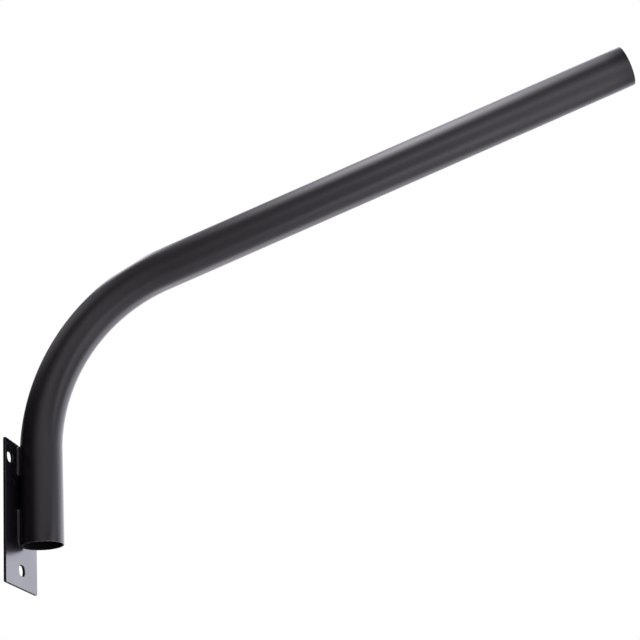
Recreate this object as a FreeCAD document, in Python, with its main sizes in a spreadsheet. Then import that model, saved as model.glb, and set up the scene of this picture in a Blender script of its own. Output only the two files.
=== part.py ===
import FreeCAD, Part
import math
import os
import Sketcher

# Wall bracket arm for a street lamp.
# A bent steel tube is stitch welded to a flat wall plate.
# The origin is the centre of the plate's wall face, +X points away from the wall and +Z is up.
# All sizes are in millimetres, and angles are in degrees.

SIZES = [
    ("tube_diameter", 48.0, "outside of the round tube, the lamp's spigot"),
    ("tube_wall", 2.0, "wall of the tube"),
    ("tube_rim_chamfer", 0.4, "deburred rims at both ends of the tube"),
    ("leg_length", 105.0, "straight upright leg, below the bend"),
    ("bend_radius", 214.0, "bend, at the tube's centre line"),
    ("arm_rise", 17.0, "angle of the arm above level"),
    ("arm_length", 590.0, "straight arm, beyond the bend"),
    ("plate_width", 96.0, "wall plate, across the wall"),
    ("plate_height", 162.0, "wall plate, up the wall"),
    ("plate_thickness", 3.0, "wall plate"),
    ("plate_corner", 2.0, "corner radius of the wall plate"),
    ("plate_edge_chamfer", 0.4, "eased edges of the wall plate, its slots included"),
    ("plate_below_tube", 45.5, "how far the plate reaches below the tube's lower end"),
    ("slot_length", 18.0, "fixing slot, across the wall"),
    ("slot_width", 12.0, "fixing slot, up the wall"),
    ("slot_spacing", 68.0, "between the centres of the two upper slots"),
    ("slot_edge", 20.0, "from a slot's centre to the plate's top or bottom edge"),
    ("weld_rise", 3.0, "height of a weld's edge on the tube, above the plate"),
    ("weld_lean", 2.0, "how far the weld's edge on the plate lies outside its edge on the tube"),
    ("weld_root_gap", 0.5, "gap between tube and plate where the weld's root ends"),
    ("upper_weld_length", 38.0, "each upper stitch, with its rounded ends"),
    ("lower_weld_length", 43.0, "each lower stitch, with its rounded ends"),
    ("upper_weld_margin", 0.5, "from the plate's top edge to an upper stitch"),
    ("lower_weld_margin", 0.5, "from the tube's lower end to a lower stitch"),
]

# Places that several pieces share, as expressions of the sizes above.
TUBE_RADIUS = "(sizes.tube_diameter / 2)"
TUBE_AXIS_X = "(sizes.plate_thickness + sizes.tube_diameter / 2)"
TUBE_FOOT_Z = "(sizes.plate_below_tube - sizes.plate_height / 2)"
SLOT_REACH_Z = "(sizes.plate_height / 2 - sizes.slot_edge)"
WELD_TUBE_EDGE = "sqrt(sizes.weld_rise * (sizes.tube_diameter - sizes.weld_rise))"
WELD_ROOT_EDGE = "sqrt(sizes.weld_root_gap * (sizes.tube_diameter - sizes.weld_root_gap))"
WELD_PLATE_EDGE = "(" + WELD_TUBE_EDGE + " + sizes.weld_lean)"
WELD_END_REACH = "(" + WELD_PLATE_EDGE + " - " + WELD_ROOT_EDGE + ")"
BLANK_RISE = "(sizes.weld_rise + sizes.tube_wall)"
UPPER_WELD_Z = "(sizes.plate_height / 2 - sizes.upper_weld_margin - sizes.upper_weld_length / 2)"
LOWER_WELD_Z = "(" + TUBE_FOOT_Z + " + sizes.lower_weld_margin + sizes.lower_weld_length / 2)"

START = 1
END = 2
CENTRE = 3
ORIGIN = (-1, 1)
HALF_TURN = 180
QUARTER_TURN = 90
NEARLY_ZERO = 0.01


def vector(x, y, z=0.0):
    return FreeCAD.Vector(x, y, z)


def make_sheet(doc):
    sheet = doc.addObject("Spreadsheet::Sheet", "sizes")
    for row, (name, value, note) in enumerate(SIZES, start=1):
        sheet.set("A%d" % row, name)
        sheet.set("B%d" % row, str(value))
        sheet.set("C%d" % row, note)
        sheet.setAlias("B%d" % row, name)
    doc.recompute()
    return sheet


def make_body(doc, name):
    body = doc.addObject("PartDesign::Body", name)
    body.Label = name
    return body


def make_sketch(body, role, name):
    plane = next(item for item in body.Origin.OriginFeatures if item.Role == role)
    sketch = body.newObject("Sketcher::SketchObject", name)
    sketch.AttachmentSupport = [(plane, "")]
    sketch.MapMode = "FlatFace"
    return sketch


def fix(sketch, kind, *references):
    return sketch.addConstraint(Sketcher.Constraint(kind, *references))


def drive(sketch, name, expression, kind, *references):
    """Add a dimension that takes its value from the sheet."""
    index = fix(sketch, kind, *references)
    sketch.renameConstraint(index, name)
    sketch.setExpression("Constraints." + name, expression)


def rectangle(sketch, width, height):
    """A rectangle about the sketch's origin; returns its four sides."""
    left, right = -width / 2, width / 2
    low, high = -height / 2, height / 2
    corners = [vector(left, low), vector(right, low), vector(right, high), vector(left, high)]
    sides = []
    for index, corner in enumerate(corners):
        following = corners[(index + 1) % len(corners)]
        sides.append(sketch.addGeometry(Part.LineSegment(corner, following)))
    for side, following in zip(sides, sides[1:] + sides[:1]):
        fix(sketch, "Coincident", side, END, following, START)
    for side in (sides[0], sides[2]):
        fix(sketch, "Horizontal", side)
    for side in (sides[1], sides[3]):
        fix(sketch, "Vertical", side)
    fix(sketch, "Symmetric", sides[0], START, sides[1], END, *ORIGIN)
    return sides


def slot(sketch, name, across, up, sheet):
    """A level slot with round ends, whose centre has the values and expressions given."""
    across_value, across_expression = across
    up_value, up_expression = up
    radius = sheet.slot_width / 2
    reach = sheet.slot_length / 2 - radius
    middle = vector(across_value, up_value)
    left = middle - vector(reach, 0)
    right = middle + vector(reach, 0)
    axis = vector(0, 0, 1)
    quarter = math.pi / 2
    left_end = sketch.addGeometry(
        Part.ArcOfCircle(Part.Circle(left, axis, radius), quarter, 3 * quarter))
    right_end = sketch.addGeometry(
        Part.ArcOfCircle(Part.Circle(right, axis, radius), -quarter, quarter))
    rise = vector(0, radius)
    lower = sketch.addGeometry(Part.LineSegment(left - rise, right - rise))
    upper = sketch.addGeometry(Part.LineSegment(right + rise, left + rise))
    fix(sketch, "Tangent", left_end, END, lower, START)
    fix(sketch, "Tangent", lower, END, right_end, START)
    fix(sketch, "Tangent", right_end, END, upper, START)
    fix(sketch, "Tangent", upper, END, left_end, START)
    fix(sketch, "Horizontal", lower)
    centre = sketch.addGeometry(Part.Point(middle), True)
    fix(sketch, "Symmetric", left_end, CENTRE, right_end, CENTRE, centre, START)
    drive(sketch, name + "_radius", "sizes.slot_width / 2", "Radius", left_end, radius)
    drive(sketch, name + "_reach", "sizes.slot_length - sizes.slot_width",
          "DistanceX", left_end, CENTRE, right_end, CENTRE, 2 * reach)
    drive(sketch, name + "_across", across_expression,
          "DistanceX", *ORIGIN, centre, START, across_value)
    drive(sketch, name + "_up", up_expression, "DistanceY", *ORIGIN, centre, START, up_value)


def wall_plate(doc, sheet):
    """Flat plate, cut square with eased corners and edges, with three level slots in a triangle."""
    body = make_body(doc, "wall_plate")
    outline = make_sketch(body, "YZ_Plane", "plate_outline")
    sides = rectangle(outline, sheet.plate_width, sheet.plate_height)
    drive(outline, "width", "sizes.plate_width",
          "DistanceX", sides[0], START, sides[0], END, sheet.plate_width)
    drive(outline, "height", "sizes.plate_height",
          "DistanceY", sides[1], START, sides[1], END, sheet.plate_height)
    pad = body.newObject("PartDesign::Pad", "plate_pad")
    pad.Profile = outline
    pad.setExpression("Length", "sizes.plate_thickness")
    doc.recompute()

    slots = make_sketch(body, "YZ_Plane", "plate_slots")
    half_spacing = sheet.slot_spacing / 2
    reach = sheet.plate_height / 2 - sheet.slot_edge
    upper = (reach, SLOT_REACH_Z)
    slot(slots, "left", (-half_spacing, "-sizes.slot_spacing / 2"), upper, sheet)
    slot(slots, "right", (half_spacing, "sizes.slot_spacing / 2"), upper, sheet)
    slot(slots, "foot", (0.0, "0"), (-reach, "-" + SLOT_REACH_Z), sheet)
    pocket = body.newObject("PartDesign::Pocket", "plate_slot_cuts")
    pocket.Profile = slots
    pocket.Type = "ThroughAll"
    pocket.Reversed = True
    doc.recompute()

    corners = body.newObject("PartDesign::Fillet", "plate_corners")
    corners.Base = (pocket, corner_edges(pocket.Shape, sheet))
    corners.setExpression("Radius", "sizes.plate_corner")
    doc.recompute()

    edges = body.newObject("PartDesign::Chamfer", "plate_edges")
    edges.Base = (corners, face_edges(corners.Shape, sheet))
    edges.setExpression("Size", "sizes.plate_edge_chamfer")
    doc.recompute()
    return body


def corner_edges(shape, sheet):
    """The four straight edges through the plate's thickness."""
    names = []
    for index, edge in enumerate(shape.Edges, start=1):
        middle = edge.CenterOfMass
        at_side = abs(abs(middle.y) - sheet.plate_width / 2) < NEARLY_ZERO
        at_end = abs(abs(middle.z) - sheet.plate_height / 2) < NEARLY_ZERO
        if at_side and at_end:
            names.append("Edge%d" % index)
    return names


def face_edges(shape, sheet):
    """The edges around the plate's two faces and around the slots in them."""
    names = []
    for index, edge in enumerate(shape.Edges, start=1):
        box = edge.BoundBox
        on_wall_face = box.XMax < NEARLY_ZERO
        on_front_face = box.XMin > sheet.plate_thickness - NEARLY_ZERO
        if on_wall_face or on_front_face:
            names.append("Edge%d" % index)
    return names


def tube_path(body, sheet):
    """The tube's centre line: upright leg, bend and rising arm."""
    axis_x = sheet.plate_thickness + sheet.tube_diameter / 2
    foot_z = sheet.plate_below_tube - sheet.plate_height / 2
    rise = math.radians(sheet.arm_rise)
    foot = vector(axis_x, foot_z)
    bend_start = foot + vector(0, sheet.leg_length)
    bend_centre = bend_start + vector(sheet.bend_radius, 0)
    spoke = vector(-math.sin(rise), math.cos(rise)) * sheet.bend_radius
    bend_end = bend_centre + spoke
    tip = bend_end + vector(math.cos(rise), math.sin(rise)) * sheet.arm_length

    path = make_sketch(body, "XZ_Plane", body.Name + "_path")
    leg = path.addGeometry(Part.LineSegment(foot, bend_start))
    circle = Part.Circle(bend_centre, vector(0, 0, 1), sheet.bend_radius)
    bend = path.addGeometry(Part.ArcOfCircle(circle, math.pi / 2 + rise, math.pi))
    arm = path.addGeometry(Part.LineSegment(bend_end, tip))
    fix(path, "Vertical", leg)
    fix(path, "Tangent", leg, END, bend, END)
    fix(path, "Tangent", bend, START, arm, START)
    drive(path, "foot_x", TUBE_AXIS_X, "DistanceX", *ORIGIN, leg, START, axis_x)
    drive(path, "foot_z", TUBE_FOOT_Z, "DistanceY", *ORIGIN, leg, START, foot_z)
    drive(path, "leg", "sizes.leg_length", "DistanceY", leg, START, leg, END, sheet.leg_length)
    drive(path, "bend", "sizes.bend_radius", "Radius", bend, sheet.bend_radius)
    drive(path, "arm", "sizes.arm_length", "Distance", arm, sheet.arm_length)
    drive(path, "rise", "sizes.arm_rise", "Angle", -1, START, arm, START, rise)
    return path


def bent_tube(doc, sheet, name, with_bore):
    """The tube along its path, hollow or as the solid that the welds are cut to."""
    body = make_body(doc, name)
    path = tube_path(body, sheet)
    section = make_sketch(body, "XY_Plane", name + "_section")
    section.setExpression("AttachmentOffset.Base.z", TUBE_FOOT_Z)
    axis_x = sheet.plate_thickness + sheet.tube_diameter / 2
    centre = vector(axis_x, 0)
    outer_radius = sheet.tube_diameter / 2
    outer = section.addGeometry(Part.Circle(centre, vector(0, 0, 1), outer_radius))
    fix(section, "PointOnObject", outer, CENTRE, -1)
    drive(section, "axis", TUBE_AXIS_X, "DistanceX", *ORIGIN, outer, CENTRE, axis_x)
    drive(section, "outer", TUBE_RADIUS, "Radius", outer, outer_radius)
    if with_bore:
        inner_radius = outer_radius - sheet.tube_wall
        inner = section.addGeometry(Part.Circle(centre, vector(0, 0, 1), inner_radius))
        fix(section, "Coincident", outer, CENTRE, inner, CENTRE)
        drive(section, "inner", TUBE_RADIUS + " - sizes.tube_wall", "Radius", inner, inner_radius)
    pipe = body.newObject("PartDesign::AdditivePipe", name + "_pipe")
    pipe.Profile = section
    pipe.Spine = (path, [])
    doc.recompute()
    return body


def tube_arm(doc, sheet):
    """The finished tube, with the rims of both square ends deburred."""
    body = bent_tube(doc, sheet, "tube_arm", True)
    pipe = body.Tip
    rims = body.newObject("PartDesign::Chamfer", "tube_rims")
    rims.Base = (pipe, rim_edges(pipe.Shape))
    rims.setExpression("Size", "sizes.tube_rim_chamfer")
    doc.recompute()
    return body


def rim_edges(shape):
    """The circles around the two flat end faces."""
    names = []
    flat = [face for face in shape.Faces if isinstance(face.Surface, Part.Plane)]
    for index, edge in enumerate(shape.Edges, start=1):
        if any(edge.isSame(rim) for face in flat for rim in face.Edges):
            names.append("Edge%d" % index)
    return names


def weld_section(body, sheet, name, height_expression):
    """A stitch's section, which reaches through the tube's wall before it is cut to the tube.

    Its root is the section's fourth edge.
    """
    face_x = sheet.plate_thickness
    top_x = face_x + sheet.weld_rise + sheet.tube_wall
    tube_edge = math.sqrt(sheet.weld_rise * (sheet.tube_diameter - sheet.weld_rise))
    root_edge = math.sqrt(sheet.weld_root_gap * (sheet.tube_diameter - sheet.weld_root_gap))
    lean_beyond = sheet.weld_lean * sheet.tube_wall / sheet.weld_rise
    on_plate_inner = vector(face_x, root_edge)
    on_plate_outer = vector(face_x, tube_edge + sheet.weld_lean)
    on_tube = vector(face_x + sheet.weld_rise, tube_edge)
    in_tube_outer = vector(top_x, tube_edge - lean_beyond)
    in_tube_inner = vector(top_x, root_edge)

    section = make_sketch(body, "XY_Plane", name)
    section.setExpression("AttachmentOffset.Base.z", height_expression)
    plate_side = section.addGeometry(Part.LineSegment(on_plate_inner, on_plate_outer))
    face = section.addGeometry(Part.LineSegment(on_plate_outer, in_tube_outer))
    tube_side = section.addGeometry(Part.LineSegment(in_tube_outer, in_tube_inner))
    root = section.addGeometry(Part.LineSegment(in_tube_inner, on_plate_inner))
    edge = section.addGeometry(Part.Point(on_tube), True)
    fix(section, "Coincident", plate_side, END, face, START)
    fix(section, "Coincident", face, END, tube_side, START)
    fix(section, "Coincident", tube_side, END, root, START)
    fix(section, "Coincident", root, END, plate_side, START)
    fix(section, "Vertical", plate_side)
    fix(section, "Vertical", tube_side)
    fix(section, "Horizontal", root)
    fix(section, "PointOnObject", edge, START, face)
    drive(section, "plate_face", "sizes.plate_thickness",
          "DistanceX", *ORIGIN, plate_side, START, face_x)
    drive(section, "root_edge", WELD_ROOT_EDGE,
          "DistanceY", *ORIGIN, plate_side, START, root_edge)
    drive(section, "plate_edge", WELD_PLATE_EDGE,
          "DistanceY", *ORIGIN, plate_side, END, on_plate_outer.y)
    drive(section, "tube_edge", WELD_TUBE_EDGE, "DistanceY", *ORIGIN, edge, START, tube_edge)
    drive(section, "rise", "sizes.weld_rise",
          "DistanceX", plate_side, START, edge, START, sheet.weld_rise)
    drive(section, "blank_rise", BLANK_RISE,
          "DistanceX", plate_side, START, tube_side, START, top_x - face_x)
    return section


def weld_blank(doc, sheet, name, length, height, turned):
    """A stitch before it is cut to the tube: a straight bead whose ends sweep round to its root.

    It is drawn on the right of the tube, about its own middle. Turned over about the X axis,
    the same bead lies on the left.
    """
    body = make_body(doc, name + "_blank")
    straight = "(" + length + " - 2 * " + WELD_END_REACH + ")"
    middle = weld_section(body, sheet, name + "_section", "0")
    pad = body.newObject("PartDesign::Pad", name + "_straight")
    pad.Profile = middle
    pad.Midplane = True
    pad.setExpression("Length", straight)
    doc.recompute()
    for end, sign in (("top", ""), ("foot", "-")):
        section = weld_section(body, sheet, name + "_section_" + end, sign + straight + " / 2")
        sweep = body.newObject("PartDesign::Revolution", name + "_" + end)
        sweep.Profile = section
        sweep.ReferenceAxis = (section, ["Edge4"])
        sweep.Angle = QUARTER_TURN
        sweep.Reversed = end == "top"
        doc.recompute()
    if turned:
        body.Placement = FreeCAD.Placement(vector(0, 0), FreeCAD.Rotation(vector(1, 0), HALF_TURN))
    body.setExpression("Placement.Base.z", height)
    doc.recompute()
    return body


def weld_bead(doc, sheet, name, length, height, turned, tube_solid):
    """A stitch that lies in the groove between tube and plate and follows the tube's surface."""
    bead = doc.addObject("Part::Cut", name)
    bead.Label = name
    bead.Base = weld_blank(doc, sheet, name, length, height, turned)
    bead.Tool = tube_solid
    doc.recompute()
    return bead


def check_document(doc):
    for item in doc.Objects:
        bad = [state for state in item.State if state in ("Invalid", "Error")]
        if bad:
            raise RuntimeError("%s is %s" % (item.Name, ", ".join(bad)))


def check_part(part, solids):
    shape = part.Shape
    if shape.isNull() or not shape.isValid() or len(shape.Solids) != solids:
        raise RuntimeError("%s has no sound solid" % part.Label)


def main():
    doc = FreeCAD.newDocument("wall_lamp_bracket_arm")
    sheet = make_sheet(doc)
    plate = wall_plate(doc, sheet)
    arm = tube_arm(doc, sheet)
    tube_solid = bent_tube(doc, sheet, "tube_solid", False)
    parts = [plate, arm]
    upper = ("sizes.upper_weld_length", UPPER_WELD_Z)
    lower = ("sizes.lower_weld_length", LOWER_WELD_Z)
    for level, (length, height) in (("upper", upper), ("lower", lower)):
        for side, turned in (("left", True), ("right", False)):
            name = "weld_%s_%s" % (level, side)
            parts.append(weld_bead(doc, sheet, name, length, height, turned, tube_solid))
    doc.recompute()
    check_document(doc)
    for part in parts:
        check_part(part, 1)
    os.makedirs("parts", exist_ok=True)
    for part in parts:
        part.Shape.exportStep("parts/%s.step" % part.Label)
        box = part.Shape.BoundBox
        print(part.Label, "volume %.1f" % part.Shape.Volume,
              "x %.2f %.2f" % (box.XMin, box.XMax),
              "y %.2f %.2f" % (box.YMin, box.YMax),
              "z %.2f %.2f" % (box.ZMin, box.ZMax))


main()
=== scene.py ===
import math

import bpy
from mathutils import Matrix, Vector


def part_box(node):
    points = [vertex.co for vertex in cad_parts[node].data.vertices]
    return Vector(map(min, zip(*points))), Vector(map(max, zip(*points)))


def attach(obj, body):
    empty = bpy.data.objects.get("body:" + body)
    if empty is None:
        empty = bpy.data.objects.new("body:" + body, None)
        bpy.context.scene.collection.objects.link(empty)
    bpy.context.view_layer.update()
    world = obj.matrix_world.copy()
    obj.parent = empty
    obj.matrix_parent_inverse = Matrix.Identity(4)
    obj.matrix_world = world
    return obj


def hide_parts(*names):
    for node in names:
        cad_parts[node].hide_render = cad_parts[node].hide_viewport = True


# A bent wall bracket arm for a street lamp, painted satin black, in front of white.
# Metres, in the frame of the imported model: the wall lies at X = 0, and +Z is up.

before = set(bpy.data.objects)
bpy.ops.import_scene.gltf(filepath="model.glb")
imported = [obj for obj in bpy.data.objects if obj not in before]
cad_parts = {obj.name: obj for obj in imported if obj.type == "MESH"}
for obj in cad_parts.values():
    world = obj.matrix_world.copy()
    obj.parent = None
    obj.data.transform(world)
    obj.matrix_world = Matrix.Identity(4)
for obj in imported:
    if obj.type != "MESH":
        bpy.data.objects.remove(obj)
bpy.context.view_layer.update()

# Where the model puts the plate's outer face and the tube's lower end.
PLATE_FACE_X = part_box("wall_plate")[1].x
TUBE_FOOT_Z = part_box("tube_arm")[0].z

# Camera, as fitted to the photograph's outlines.
IMAGE_SIZE = 640
SENSOR_WIDTH = 36.0
FOCAL_LENGTH_PX = 1463.27
LOOK_AT = Vector((0.358789, 0.0, 0.185396))
CAMERA_DISTANCE = 1.659068
CAMERA_AZIMUTH = math.radians(8.059)
CAMERA_RISE = math.radians(20.618)
CAMERA_ROLL = math.radians(-4.939)

# The tube's driving sizes, as in the CAD model. Its place comes from the frame.
TUBE_RADIUS = 0.024
TUBE_WALL = 0.002
TUBE_RIM = 0.0004
LEG_LENGTH = 0.105
BEND_RADIUS = 0.214
BEND_ANGLE = math.radians(73)
ARM_LENGTH = 0.590

# Bent without a mandrel, the tube is a little flat in the middle of its bend.
BEND_SQUEEZE = 0.0016
BEND_SPREAD = 0.0010

# How finely the tube's mesh is divided, around it and along it.
TUBE_SIDES = 96
RIM_STEPS = 3
LEG_STEPS = 6
BEND_STEPS = 73
ARM_STEPS = 24

# A weld stitch fills the groove between tube and plate. Its top is on the tube, a rise off the
# plate. Its toe is on the plate and leans out further. Its root is where the groove is a gap wide.
WELD_RISE = 0.0030
WELD_LEAN = 0.0020
WELD_ROOT_GAP = 0.0005
# Its face bulges by the crown, and it goes into tube and plate by the overlap.
WELD_CROWN = 0.0003
WELD_OVERLAP = 0.00010
# Towards each end it narrows, over this length and down to this share of its size.
WELD_END_LENGTH = 0.005
WELD_END_SHARE = 0.03
# How finely its mesh is divided: the length of a slice, and the steps on its face and its seat.
WELD_SLICE = 0.0003
WELD_FACE_STEPS = 12
WELD_SEAT_STEPS = 5
# The scales on its face, each of which bows upwards in the middle of the bead.
RIPPLE_PITCH = 0.0021
RIPPLE_HEIGHT = 0.00025
RIPPLE_BOW = 0.0010

# Edges sharper than this stay sharp when the meshes are shaded smooth.
SHARP_ANGLE = math.radians(40)
# A face of the plate whose normal has less of X than this is one of its sheared edges.
EDGE_NORMAL_X = 0.3

# Coats. Patches vary the roughness and grain gives the bumps, each as a noise's scale and detail.
COAT_IOR = 1.5
PAINT = {"colour": (0.0066, 0.0052, 0.0074), "specular": 0.5, "roughness": 0.28,
         "unevenness": 0.03, "patches": (9.0, 4.0), "grain": (620.0, 2.0),
         "bump_strength": 0.25, "bump_height": 0.00006}
CUT_EDGE = {"colour": (0.0030, 0.0027, 0.0032), "specular": 0.12, "roughness": 0.7,
            "unevenness": 0.1, "patches": (900.0, 3.0), "grain": (900.0, 3.0),
            "bump_strength": 0.4, "bump_height": 0.0001}
# Most of a noise lies between these, and the roughness takes up its whole range over them.
NOISE_LOW = 0.3
NOISE_HIGH = 0.7

# Lamps. Each stands at a distance from the point that the camera looks at, at an azimuth and an
# elevation in degrees, and faces it, turned by some degrees about the line between them. Its glow
# falls off from its middle as a bell curve, whose deviations in width and height are its spread.
NEUTRAL = (1.04, 1.0, 1.08)
COOL = (0.99, 1.0, 1.14)
LAMPS = {
    "overhead": {"azimuth": 262, "elevation": 77.5, "distance": 1.15,
                 "spread": (0.36, 0.22), "turn": 106, "strength": 6.6},
    "behind, high on the bend": {"azimuth": 150, "elevation": 49.5, "distance": 1.14,
                                 "spread": (0.06, 0.26), "turn": -59, "strength": 7.5},
    "behind, wide": {"azimuth": 64.5, "elevation": 34.5, "distance": 4.9,
                     "spread": (4.0, 2.8), "turn": -13, "strength": 2.45, "tint": COOL},
    "behind, low": {"azimuth": 110.5, "elevation": -30, "distance": 3.3,
                    "spread": (0.39, 2.7), "turn": -44.5, "strength": 4.35},
    "behind, at the floor": {"azimuth": 88, "elevation": -30, "distance": 0.65,
                             "spread": (0.64, 0.17), "turn": -21.5, "strength": 2.3},
    "wall side, high": {"azimuth": 200, "elevation": 43.5, "distance": 6.0,
                        "spread": (3.4, 0.8), "turn": -6, "strength": 1.1},
    "front, right": {"azimuth": 333.5, "elevation": -5.5, "distance": 0.65,
                     "spread": (2.35, 0.39), "turn": -39, "strength": 0.54},
    "front, low": {"azimuth": 286.5, "elevation": -18.5, "distance": 4.5,
                   "spread": (1.5, 4.0), "turn": 31.5, "strength": 0.85},
    "behind, level": {"azimuth": 100, "elevation": -8, "distance": 3.0,
                      "spread": (0.45, 0.45), "turn": 0, "strength": 1.6},
    "strip under the arm": {"azimuth": 331.5, "elevation": -33.5, "distance": 0.35,
                            "spread": (0.27, 0.07), "turn": 57.5, "strength": 1.15},
    "strip below the arm": {"azimuth": 7.5, "elevation": -42, "distance": 0.33,
                            "spread": (0.28, 0.1), "turn": 98, "strength": 0.42},
    "strip before the arm": {"azimuth": 305, "elevation": 14, "distance": 0.58,
                             "spread": (0.33, 0.07), "turn": 11.5, "strength": 0.8},
    "behind, for the plate": {"azimuth": 72, "elevation": 2, "distance": 3.0,
                              "spread": (0.45, 0.45), "turn": 0, "strength": 1.5, "tint": COOL},
}
PLATE_LAMP = "behind, for the plate"
FLARING_LAMP = "behind, at the floor"
# A lamp reaches this many spreads from its middle.
LAMP_EDGE = 2.5

# The room: a little fill light, and a pale floor that fades to the white background.
FILL_LIGHT = 0.01
BACKGROUND_WHITE = 1.0
FLOOR_LEVEL = -0.60
FLOOR_RADIUS = 1.0
FLOOR_SIDES = 96
FLOOR_COLOUR = (0.81, 0.81, 0.79)
FLOOR_ROUGHNESS = 0.9
# The fade starts at this share of the radius.
FLOOR_FADE = 0.35


def make_camera():
    """The camera looks up at the arm from its left side and from below."""
    level = Vector((math.cos(CAMERA_AZIMUTH), math.sin(CAMERA_AZIMUTH), 0))
    forward = Vector((-math.sin(CAMERA_AZIMUTH) * math.cos(CAMERA_RISE),
                      math.cos(CAMERA_AZIMUTH) * math.cos(CAMERA_RISE),
                      math.sin(CAMERA_RISE)))
    above = level.cross(forward)
    right = math.cos(CAMERA_ROLL) * level + math.sin(CAMERA_ROLL) * above
    up = right.cross(forward)
    data = bpy.data.cameras.new("camera")
    data.sensor_width = SENSOR_WIDTH
    data.lens = SENSOR_WIDTH * FOCAL_LENGTH_PX / IMAGE_SIZE
    camera = bpy.data.objects.new("camera", data)
    turn = Matrix((right, up, -forward)).transposed()
    camera.matrix_world = Matrix.Translation(LOOK_AT - forward * CAMERA_DISTANCE) @ turn.to_4x4()
    bpy.context.scene.collection.objects.link(camera)
    bpy.context.scene.camera = camera


def new_material(name, colour):
    """A material of one colour, with its nodes, its links and its shader."""
    material = bpy.data.materials.new(name)
    material.use_nodes = True
    nodes = material.node_tree.nodes
    shader = nodes["Principled BSDF"]
    shader.inputs["Base Color"].default_value = (*colour, 1)
    return material, nodes, material.node_tree.links, shader


def noise(nodes, links, where, scale, detail):
    """An uneven pattern over the surface, from 0 to 1."""
    node = nodes.new("ShaderNodeTexNoise")
    node.inputs["Scale"].default_value = scale
    node.inputs["Detail"].default_value = detail
    links.new(where, node.inputs["Vector"])
    return node.outputs["Fac"]


def coat_material(name, colour, specular, roughness, unevenness, patches, grain,
                  bump_strength, bump_height):
    """A thin coat whose roughness varies in patches and whose surface has a fine grain."""
    material, nodes, links, shader = new_material(name, colour)
    shader.inputs["IOR"].default_value = COAT_IOR
    shader.inputs["Specular IOR Level"].default_value = specular
    where = nodes.new("ShaderNodeTexCoord").outputs["Object"]
    uneven = nodes.new("ShaderNodeMapRange")
    uneven.inputs["From Min"].default_value = NOISE_LOW
    uneven.inputs["From Max"].default_value = NOISE_HIGH
    uneven.inputs["To Min"].default_value = roughness - unevenness
    uneven.inputs["To Max"].default_value = roughness + unevenness
    links.new(noise(nodes, links, where, *patches), uneven.inputs["Value"])
    links.new(uneven.outputs["Result"], shader.inputs["Roughness"])
    bump = nodes.new("ShaderNodeBump")
    bump.inputs["Strength"].default_value = bump_strength
    bump.inputs["Distance"].default_value = bump_height
    links.new(noise(nodes, links, where, *grain), bump.inputs["Height"])
    links.new(bump.outputs["Normal"], shader.inputs["Normal"])
    return material


def new_piece(name, points, faces, node_name):
    """A smooth mesh that stands for a node of the CAD model."""
    mesh = bpy.data.meshes.new(name)
    mesh.from_pydata(points, [], faces)
    mesh.shade_smooth()
    mesh.set_sharp_from_angle(angle=SHARP_ANGLE)
    piece = bpy.data.objects.new(name, mesh)
    bpy.context.scene.collection.objects.link(piece)
    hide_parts(node_name)
    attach(piece, "root")
    return piece


def band(first, second, count):
    """Faces between two neighbouring loops, given by the numbers of their first points."""
    faces = []
    for step in range(count):
        beside = (step + 1) % count
        faces.append((first + step, first + beside, second + beside, second + step))
    return faces


def tube_stations():
    """Places along the tube's centre line: point, direction and how far round the bend."""
    up = Vector((0, 0, 1))
    foot = Vector((PLATE_FACE_X + TUBE_RADIUS, 0, TUBE_FOOT_Z))
    stations = [(foot + up * LEG_LENGTH * step / LEG_STEPS, up, 0.0) for step in range(LEG_STEPS)]
    bend_centre = foot + up * LEG_LENGTH + Vector((BEND_RADIUS, 0, 0))
    for step in range(BEND_STEPS + 1):
        share = step / BEND_STEPS
        angle = BEND_ANGLE * share
        spoke = Vector((-math.cos(angle), 0, math.sin(angle)))
        along = Vector((math.sin(angle), 0, math.cos(angle)))
        stations.append((bend_centre + spoke * BEND_RADIUS, along, share))
    start, along, _ = stations[-1]
    for step in range(1, ARM_STEPS + 1):
        stations.append((start + along * ARM_LENGTH * step / ARM_STEPS, along, 0.0))
    return stations


def tube_loop(place, along, share, inset):
    """One loop of points around the tube, inset from its outside."""
    across = Vector((0, 1, 0))
    outward = across.cross(along)
    bulge = math.sin(math.pi * share)
    in_plane = TUBE_RADIUS - inset - BEND_SQUEEZE * bulge
    sideways = TUBE_RADIUS - inset + BEND_SPREAD * bulge
    turns = [2 * math.pi * step / TUBE_SIDES for step in range(TUBE_SIDES)]
    return [place + outward * in_plane * math.cos(turn) + across * sideways * math.sin(turn)
            for turn in turns]


def eased_end(end, inwards, outside):
    """Loops round the eased edge of an end, from its flat face to the tube's side or bore."""
    place, along, _ = end
    loops = []
    for step in range(RIM_STEPS + 1):
        turn = math.pi / 2 * step / RIM_STEPS
        forward = TUBE_RIM * (1 - math.cos(turn))
        eased = TUBE_RIM * (1 - math.sin(turn))
        inset = eased if outside else TUBE_WALL - eased
        loops.append(tube_loop(place + inwards * forward, along, 0.0, inset))
    return loops


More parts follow.
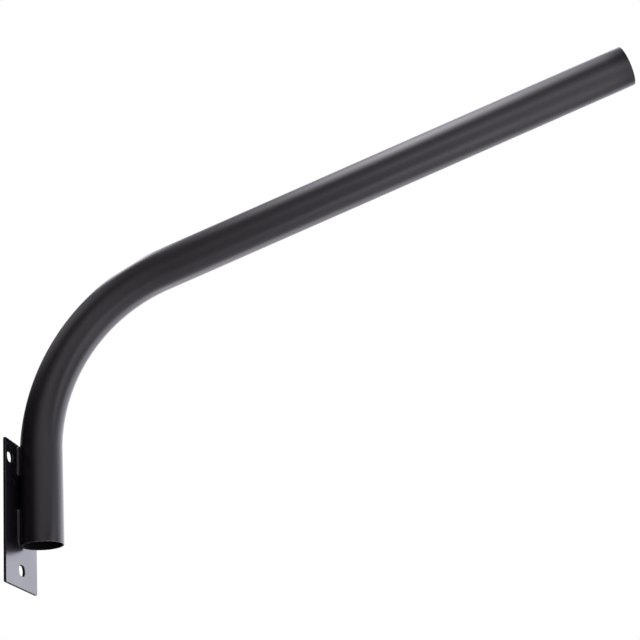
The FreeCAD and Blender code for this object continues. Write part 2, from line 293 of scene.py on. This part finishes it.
def make_tube(paint, cut_paint):
    """The bent tube: along its outside, round the far rim and back through its bore."""
    stations = tube_stations()
    foot, tip = stations[0], stations[-1]
    up_the_leg, down_the_arm = foot[1], -tip[1]
    between = stations[1:-1]
    outside = eased_end(foot, up_the_leg, True)
    outside += [tube_loop(*station, 0.0) for station in between]
    outside += reversed(eased_end(tip, down_the_arm, True))
    bore = eased_end(tip, down_the_arm, False)
    bore += [tube_loop(*station, TUBE_WALL) for station in reversed(between)]
    bore += reversed(eased_end(foot, up_the_leg, False))
    loops = outside + bore
    faces = []
    for row in range(len(loops)):
        next_row = (row + 1) % len(loops)
        faces += band(row * TUBE_SIDES, next_row * TUBE_SIDES, TUBE_SIDES)
    points = [point for loop in loops for point in loop]
    tube = new_piece("tube", points, faces, "tube_arm")
    tube.data.materials.append(paint)
    tube.data.materials.append(cut_paint)
    # The bands after those of the outside are the far rim, the bore and the foot's rim.
    first_cut_row = len(outside) - 1
    for polygon in tube.data.polygons:
        if polygon.index // TUBE_SIDES >= first_cut_row:
            polygon.material_index = 1


def ripple(height, across):
    """How far the weld's scales stand out, at a height and from -1 to 1 across the bead."""
    phase = (height + RIPPLE_BOW * across ** 2) / RIPPLE_PITCH
    return RIPPLE_HEIGHT * abs(math.sin(math.pi * phase))


def tube_axis_x(height):
    """How far the tube's centre line is from the wall, upright at first and then bending."""
    into_bend = max(height - TUBE_FOOT_Z - LEG_LENGTH, 0)
    leaning = BEND_RADIUS - math.sqrt(BEND_RADIUS ** 2 - into_bend ** 2)
    return PLATE_FACE_X + TUBE_RADIUS + leaning


def weld_slice(height, narrowing, side):
    """One slice across a stitch: over its face, then back along the tube and the plate."""
    axis_x = tube_axis_x(height)
    seat_radius = TUBE_RADIUS - WELD_OVERLAP
    toe_edge = math.sqrt(WELD_RISE * (2 * TUBE_RADIUS - WELD_RISE)) + WELD_LEAN
    root_edge = math.sqrt(WELD_ROOT_GAP * (2 * TUBE_RADIUS - WELD_ROOT_GAP))
    root = Vector((PLATE_FACE_X, root_edge))
    toe = root.lerp(Vector((PLATE_FACE_X - WELD_OVERLAP, toe_edge)), narrowing)

    def on_tube(x):
        return Vector((x, math.sqrt(max(seat_radius ** 2 - (axis_x - x) ** 2, 0))))

    top = on_tube(PLATE_FACE_X + max(WELD_RISE * narrowing, 2 * WELD_ROOT_GAP))
    outward = Vector((toe.y - top.y, top.x - toe.x)).normalized()
    section = []
    for step in range(WELD_FACE_STEPS + 1):
        across = 2 * step / WELD_FACE_STEPS - 1
        lift = (WELD_CROWN + ripple(height, across)) * (1 - across ** 4) * narrowing
        section.append(toe.lerp(top, step / WELD_FACE_STEPS) + outward * lift)
    to_root = PLATE_FACE_X + WELD_ROOT_GAP - top.x
    for step in range(1, WELD_SEAT_STEPS + 1):
        section.append(on_tube(top.x + to_root * step / WELD_SEAT_STEPS))
    section.append(Vector((PLATE_FACE_X - WELD_OVERLAP, root_edge)))
    return [Vector((point.x, side * point.y, height)) for point in section]


def make_weld(node_name, paint):
    """A stitch weld whose face has the scales of a hand-laid bead under the paint."""
    low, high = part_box(node_name)
    length = high.z - low.z
    side = -1 if high.y < 0 else 1
    steps = round(length / WELD_SLICE)
    points = []
    for step in range(steps + 1):
        height = low.z + length * step / steps
        to_end = min(height - low.z, high.z - height, WELD_END_LENGTH)
        roundness = math.sqrt(1 - (1 - to_end / WELD_END_LENGTH) ** 2)
        narrowing = WELD_END_SHARE + (1 - WELD_END_SHARE) * roundness
        points += weld_slice(height, narrowing, side)
    count = len(points) // (steps + 1)
    last_slice = steps * count
    faces = [tuple(range(count)), tuple(reversed(range(last_slice, last_slice + count)))]
    for step in range(steps):
        faces += band((step + 1) * count, step * count, count)
    if side < 0:
        faces = [tuple(reversed(face)) for face in faces]
    weld = new_piece(node_name.replace("weld", "bead"), points, faces, node_name)
    weld.data.materials.append(paint)


def dress_plate(plate, paint, cut_paint):
    """Gloss on the plate's two faces and chamfers, and matt on its sheared edges."""
    plate.data.materials.clear()
    plate.data.materials.append(paint)
    plate.data.materials.append(cut_paint)
    for polygon in plate.data.polygons:
        polygon.material_index = 1 if abs(polygon.normal.x) < EDGE_NORMAL_X else 0


def math_node(nodes, links, operation, *values):
    """The result of a sum on values that are sockets or plain numbers."""
    node = nodes.new("ShaderNodeMath")
    node.operation = operation
    for socket, value in zip(node.inputs, values):
        if isinstance(value, (int, float)):
            socket.default_value = value
        else:
            links.new(value, socket)
    return node.outputs["Value"]


def mix_shaders(nodes, links, share, first, second):
    """The second shader where the share is 1, and the first where it is 0."""
    node = nodes.new("ShaderNodeMixShader")
    links.new(share, node.inputs["Fac"])
    links.new(first, node.inputs[1])
    links.new(second, node.inputs[2])
    return node.outputs["Shader"]


def soft_glow(lamp, tint):
    """Let an area lamp glow most in its middle and fade smoothly to its edges."""
    lamp.use_nodes = True
    nodes, links = lamp.node_tree.nodes, lamp.node_tree.links
    nodes.clear()
    # This runs from 0 to 1 across the lamp and up it.
    place = nodes.new("ShaderNodeNewGeometry").outputs["Parametric"]
    off_middle = nodes.new("ShaderNodeVectorMath")
    off_middle.operation = "DISTANCE"
    off_middle.inputs[1].default_value = (0.5, 0.5, 0)
    links.new(place, off_middle.inputs[0])
    squared = math_node(nodes, links, "POWER", off_middle.outputs["Value"], 2.0)
    falloff = math_node(nodes, links, "MULTIPLY", squared, -2 * LAMP_EDGE ** 2)
    emission = nodes.new("ShaderNodeEmission")
    emission.inputs["Color"].default_value = (*tint, 1)
    links.new(math_node(nodes, links, "EXPONENT", falloff), emission.inputs["Strength"])
    output = nodes.new("ShaderNodeOutputLight")
    links.new(emission.outputs["Emission"], output.inputs["Surface"])


def make_lamp(name, azimuth, elevation, distance, spread, turn, strength, tint=NEUTRAL):
    """A soft area lamp. Its strength is how brightly its middle glows, whatever its size."""
    around, rise, turned = math.radians(azimuth), math.radians(elevation), math.radians(turn)
    outward = Vector((math.cos(around) * math.cos(rise),
                      math.sin(around) * math.cos(rise), math.sin(rise)))
    level = Vector((0, 0, 1)).cross(outward).normalized()
    upright = outward.cross(level)
    wide = math.cos(turned) * level + math.sin(turned) * upright
    tall = outward.cross(wide)
    lamp = bpy.data.lights.new(name, "AREA")
    lamp.shape = "RECTANGLE"
    lamp.size = 2 * LAMP_EDGE * spread[0]
    lamp.size_y = 2 * LAMP_EDGE * spread[1]
    lamp.energy = strength * math.pi * lamp.size * lamp.size_y
    soft_glow(lamp, tint)
    stand = bpy.data.objects.new(name, lamp)
    facing = Matrix((wide, tall, outward)).transposed()
    stand.matrix_world = Matrix.Translation(LOOK_AT + outward * distance) @ facing.to_4x4()
    stand.visible_camera = False
    bpy.context.scene.collection.objects.link(stand)
    return stand


def limit_lamp(lamp, pieces, state):
    """Let a lamp light only these pieces (INCLUDE), or everything but these (EXCLUDE)."""
    linked = bpy.data.collections.new(lamp.name)
    for piece in pieces:
        linked.objects.link(piece)
    for member in linked.collection_objects:
        member.light_linking.link_state = state
    lamp.light_linking.receiver_collection = linked


def make_lamps(floor, plate):
    """Set up the lamps. The low ones would draw hard lines on the floor, and don't light it.

    One of those would also flare on the plate, which has a lamp of its own instead.
    """
    for name, settings in LAMPS.items():
        lamp = make_lamp(name, **settings)
        if name == PLATE_LAMP:
            limit_lamp(lamp, [plate], "INCLUDE")
        elif name == FLARING_LAMP:
            limit_lamp(lamp, [floor, plate], "EXCLUDE")
        elif settings["elevation"] < 0:
            limit_lamp(lamp, [floor], "EXCLUDE")


def make_world():
    """The camera sees plain white, and the dark room adds only a little fill light."""
    world = bpy.data.worlds.new("studio")
    bpy.context.scene.world = world
    world.use_nodes = True
    nodes, links = world.node_tree.nodes, world.node_tree.links
    nodes.clear()
    room = nodes.new("ShaderNodeBackground")
    room.inputs["Color"].default_value = (*NEUTRAL, 1)
    room.inputs["Strength"].default_value = FILL_LIGHT
    white = nodes.new("ShaderNodeBackground")
    white.inputs["Color"].default_value = (1, 1, 1, 1)
    white.inputs["Strength"].default_value = BACKGROUND_WHITE
    to_camera = nodes.new("ShaderNodeLightPath").outputs["Is Camera Ray"]
    seen = mix_shaders(nodes, links, to_camera,
                       room.outputs["Background"], white.outputs["Background"])
    links.new(seen, nodes.new("ShaderNodeOutputWorld").inputs["Surface"])


def floor_material():
    """Pale and matt. To the camera it fades to white outwards, and is clear from below."""
    material, nodes, links, shader = new_material("floor", FLOOR_COLOUR)
    shader.inputs["Roughness"].default_value = FLOOR_ROUGHNESS
    to_camera = nodes.new("ShaderNodeLightPath").outputs["Is Camera Ray"]
    from_below = nodes.new("ShaderNodeNewGeometry").outputs["Backfacing"]
    off_middle = nodes.new("ShaderNodeVectorMath")
    off_middle.operation = "LENGTH"
    links.new(nodes.new("ShaderNodeTexCoord").outputs["Object"], off_middle.inputs[0])
    fade = nodes.new("ShaderNodeMapRange")
    fade.interpolation_type = "SMOOTHSTEP"
    fade.inputs["From Min"].default_value = FLOOR_FADE * FLOOR_RADIUS
    fade.inputs["From Max"].default_value = FLOOR_RADIUS
    links.new(off_middle.outputs["Value"], fade.inputs["Value"])
    white = nodes.new("ShaderNodeEmission")
    white.inputs["Strength"].default_value = BACKGROUND_WHITE
    clear = nodes.new("ShaderNodeBsdfTransparent")
    whiteness = math_node(nodes, links, "MULTIPLY", to_camera, fade.outputs["Result"])
    whitened = mix_shaders(nodes, links, whiteness,
                           shader.outputs["BSDF"], white.outputs["Emission"])
    clearness = math_node(nodes, links, "MULTIPLY", to_camera, from_below)
    cleared = mix_shaders(nodes, links, clearness, whitened, clear.outputs["BSDF"])
    links.new(cleared, nodes["Material Output"].inputs["Surface"])
    return material


def make_floor():
    """A disc under the object."""
    bpy.ops.mesh.primitive_circle_add(vertices=FLOOR_SIDES, radius=FLOOR_RADIUS, fill_type="NGON",
                                      location=(LOOK_AT.x, 0, FLOOR_LEVEL))
    floor = bpy.context.object
    floor.name = "floor"
    floor.data.materials.append(floor_material())
    return floor


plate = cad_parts["wall_plate"]
make_camera()
make_world()
make_lamps(make_floor(), plate)
paint = coat_material("satin_black_paint", **PAINT)
cut_paint = coat_material("matt_black_cut_edge", **CUT_EDGE)
make_tube(paint, cut_paint)
for node_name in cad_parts:
    if node_name.startswith("weld"):
        make_weld(node_name, paint)
dress_plate(plate, paint, cut_paint)
bpy.context.scene.view_settings.view_transform = "Standard"
